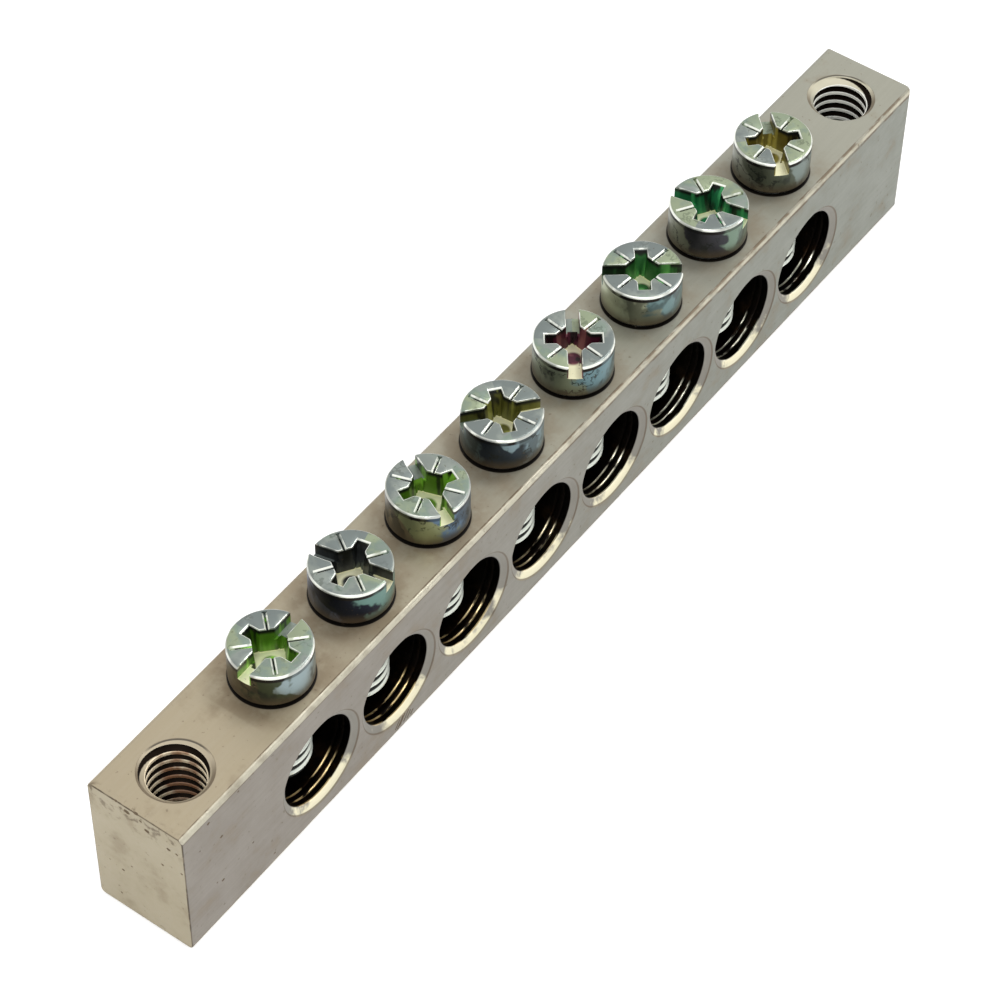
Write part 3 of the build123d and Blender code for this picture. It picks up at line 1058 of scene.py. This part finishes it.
studio = {
    "floorSize": 3.0,
    "floorDrop": 0.00003,
    "floorColour": (0.80, 0.80, 0.80),
    "floorRoughness": 0.9,
    "floorGlow": 0.45,
    "skyHigh": 0.75,
    "skyLow": 0.30,
    "skyRise": (0.05, 0.5),
    "lamps": {  # place, side in metres, power in watts
        "keyLamp": ((0.22, -0.06, 0.40), 0.12, 0.5),
        "rimLamp": ((-0.22, -0.14, 0.34), 0.06, 0.4),
        "edgeLamp": ((0.21, -0.32, 0.10), 0.08, 0.15),
    },
}


def seenRay(tree):
    path = tree.nodes.new("ShaderNodeLightPath").outputs
    return larger(tree, larger(tree, path["Is Camera Ray"], path["Is Glossy Ray"]),
                  path["Is Transmission Ray"])


def makeFloor():
    bm = bmesh.new()
    bmesh.ops.create_grid(bm, x_segments=1, y_segments=1, size=studio["floorSize"] / 2)
    shifted(bm, (0, 0, -studio["floorDrop"]))
    mesh = bpy.data.meshes.new("floor")
    bm.to_mesh(mesh)
    bm.free()
    floor = bpy.data.objects.new("floor", mesh)
    bpy.context.scene.collection.objects.link(floor)
    material, tree, shader = newMaterial("paleFloor", studio["floorRoughness"], 0.0)
    shader.inputs["Base Color"].default_value = (*studio["floorColour"], 1)
    shader.inputs["Emission Color"].default_value = (1, 1, 1, 1)
    glow = product(tree, seenRay(tree), studio["floorGlow"])
    tree.links.new(glow, shader.inputs["Emission Strength"])
    mesh.materials.append(material)


# A soft room, dimmer towards the horizon, and white where the camera or the metal sees it
def makeRoom():
    world = bpy.data.worlds.new("softRoom")
    bpy.context.scene.world = world
    world.use_nodes = True
    tree = world.node_tree
    background = tree.nodes["Background"]
    background.inputs["Color"].default_value = (1, 1, 1, 1)
    way = addNode(tree, "ShaderNodeTexCoord").outputs["Generated"]
    rise = addNode(tree, "ShaderNodeSeparateXYZ", {0: way}).outputs["Z"]
    level = fade(tree, rise, *studio["skyRise"], studio["skyLow"], studio["skyHigh"])
    tree.links.new(larger(tree, level, seenRay(tree)), background.inputs["Strength"])


def makeLamps():
    for name, (place, side, power) in studio["lamps"].items():
        light = bpy.data.lights.new(name, "AREA")
        light.energy = power
        light.size = side
        lamp = bpy.data.objects.new(name, light)
        lamp.location = place
        lamp.rotation_euler = (-Vector(place)).to_track_quat("-Z", "Y").to_euler()
        bpy.context.scene.collection.objects.link(lamp)


# Fitted to the bar's corners, bores and screw heads in the photograph
cameraPlace = {
    "eye": (-0.10954, -0.07577, 0.15606),
    "aim": (-0.003676, -0.000073, 0.005),
    "roll": 0.905,
    "lens": 123.06,
    "sensor": 36,
    "clip": (0.01, 10),
}


def makeCamera():
    data = bpy.data.cameras.new("camera")
    data.lens = cameraPlace["lens"]
    data.sensor_width = cameraPlace["sensor"]
    data.clip_start, data.clip_end = cameraPlace["clip"]
    camera = bpy.data.objects.new("camera", data)
    eye, aim = Vector(cameraPlace["eye"]), Vector(cameraPlace["aim"])
    roll = Matrix.Rotation(radians(cameraPlace["roll"]), 3, "Z")
    turn = (aim - eye).to_track_quat("-Z", "Y").to_matrix() @ roll
    camera.matrix_world = Matrix.Translation(eye) @ turn.to_4x4()
    bpy.context.scene.collection.objects.link(camera)
    bpy.context.scene.camera = camera


makeFloor()
makeRoom()
makeLamps()
makeCamera()
bpy.context.scene.view_settings.view_transform = "Standard"
print("studio ready")
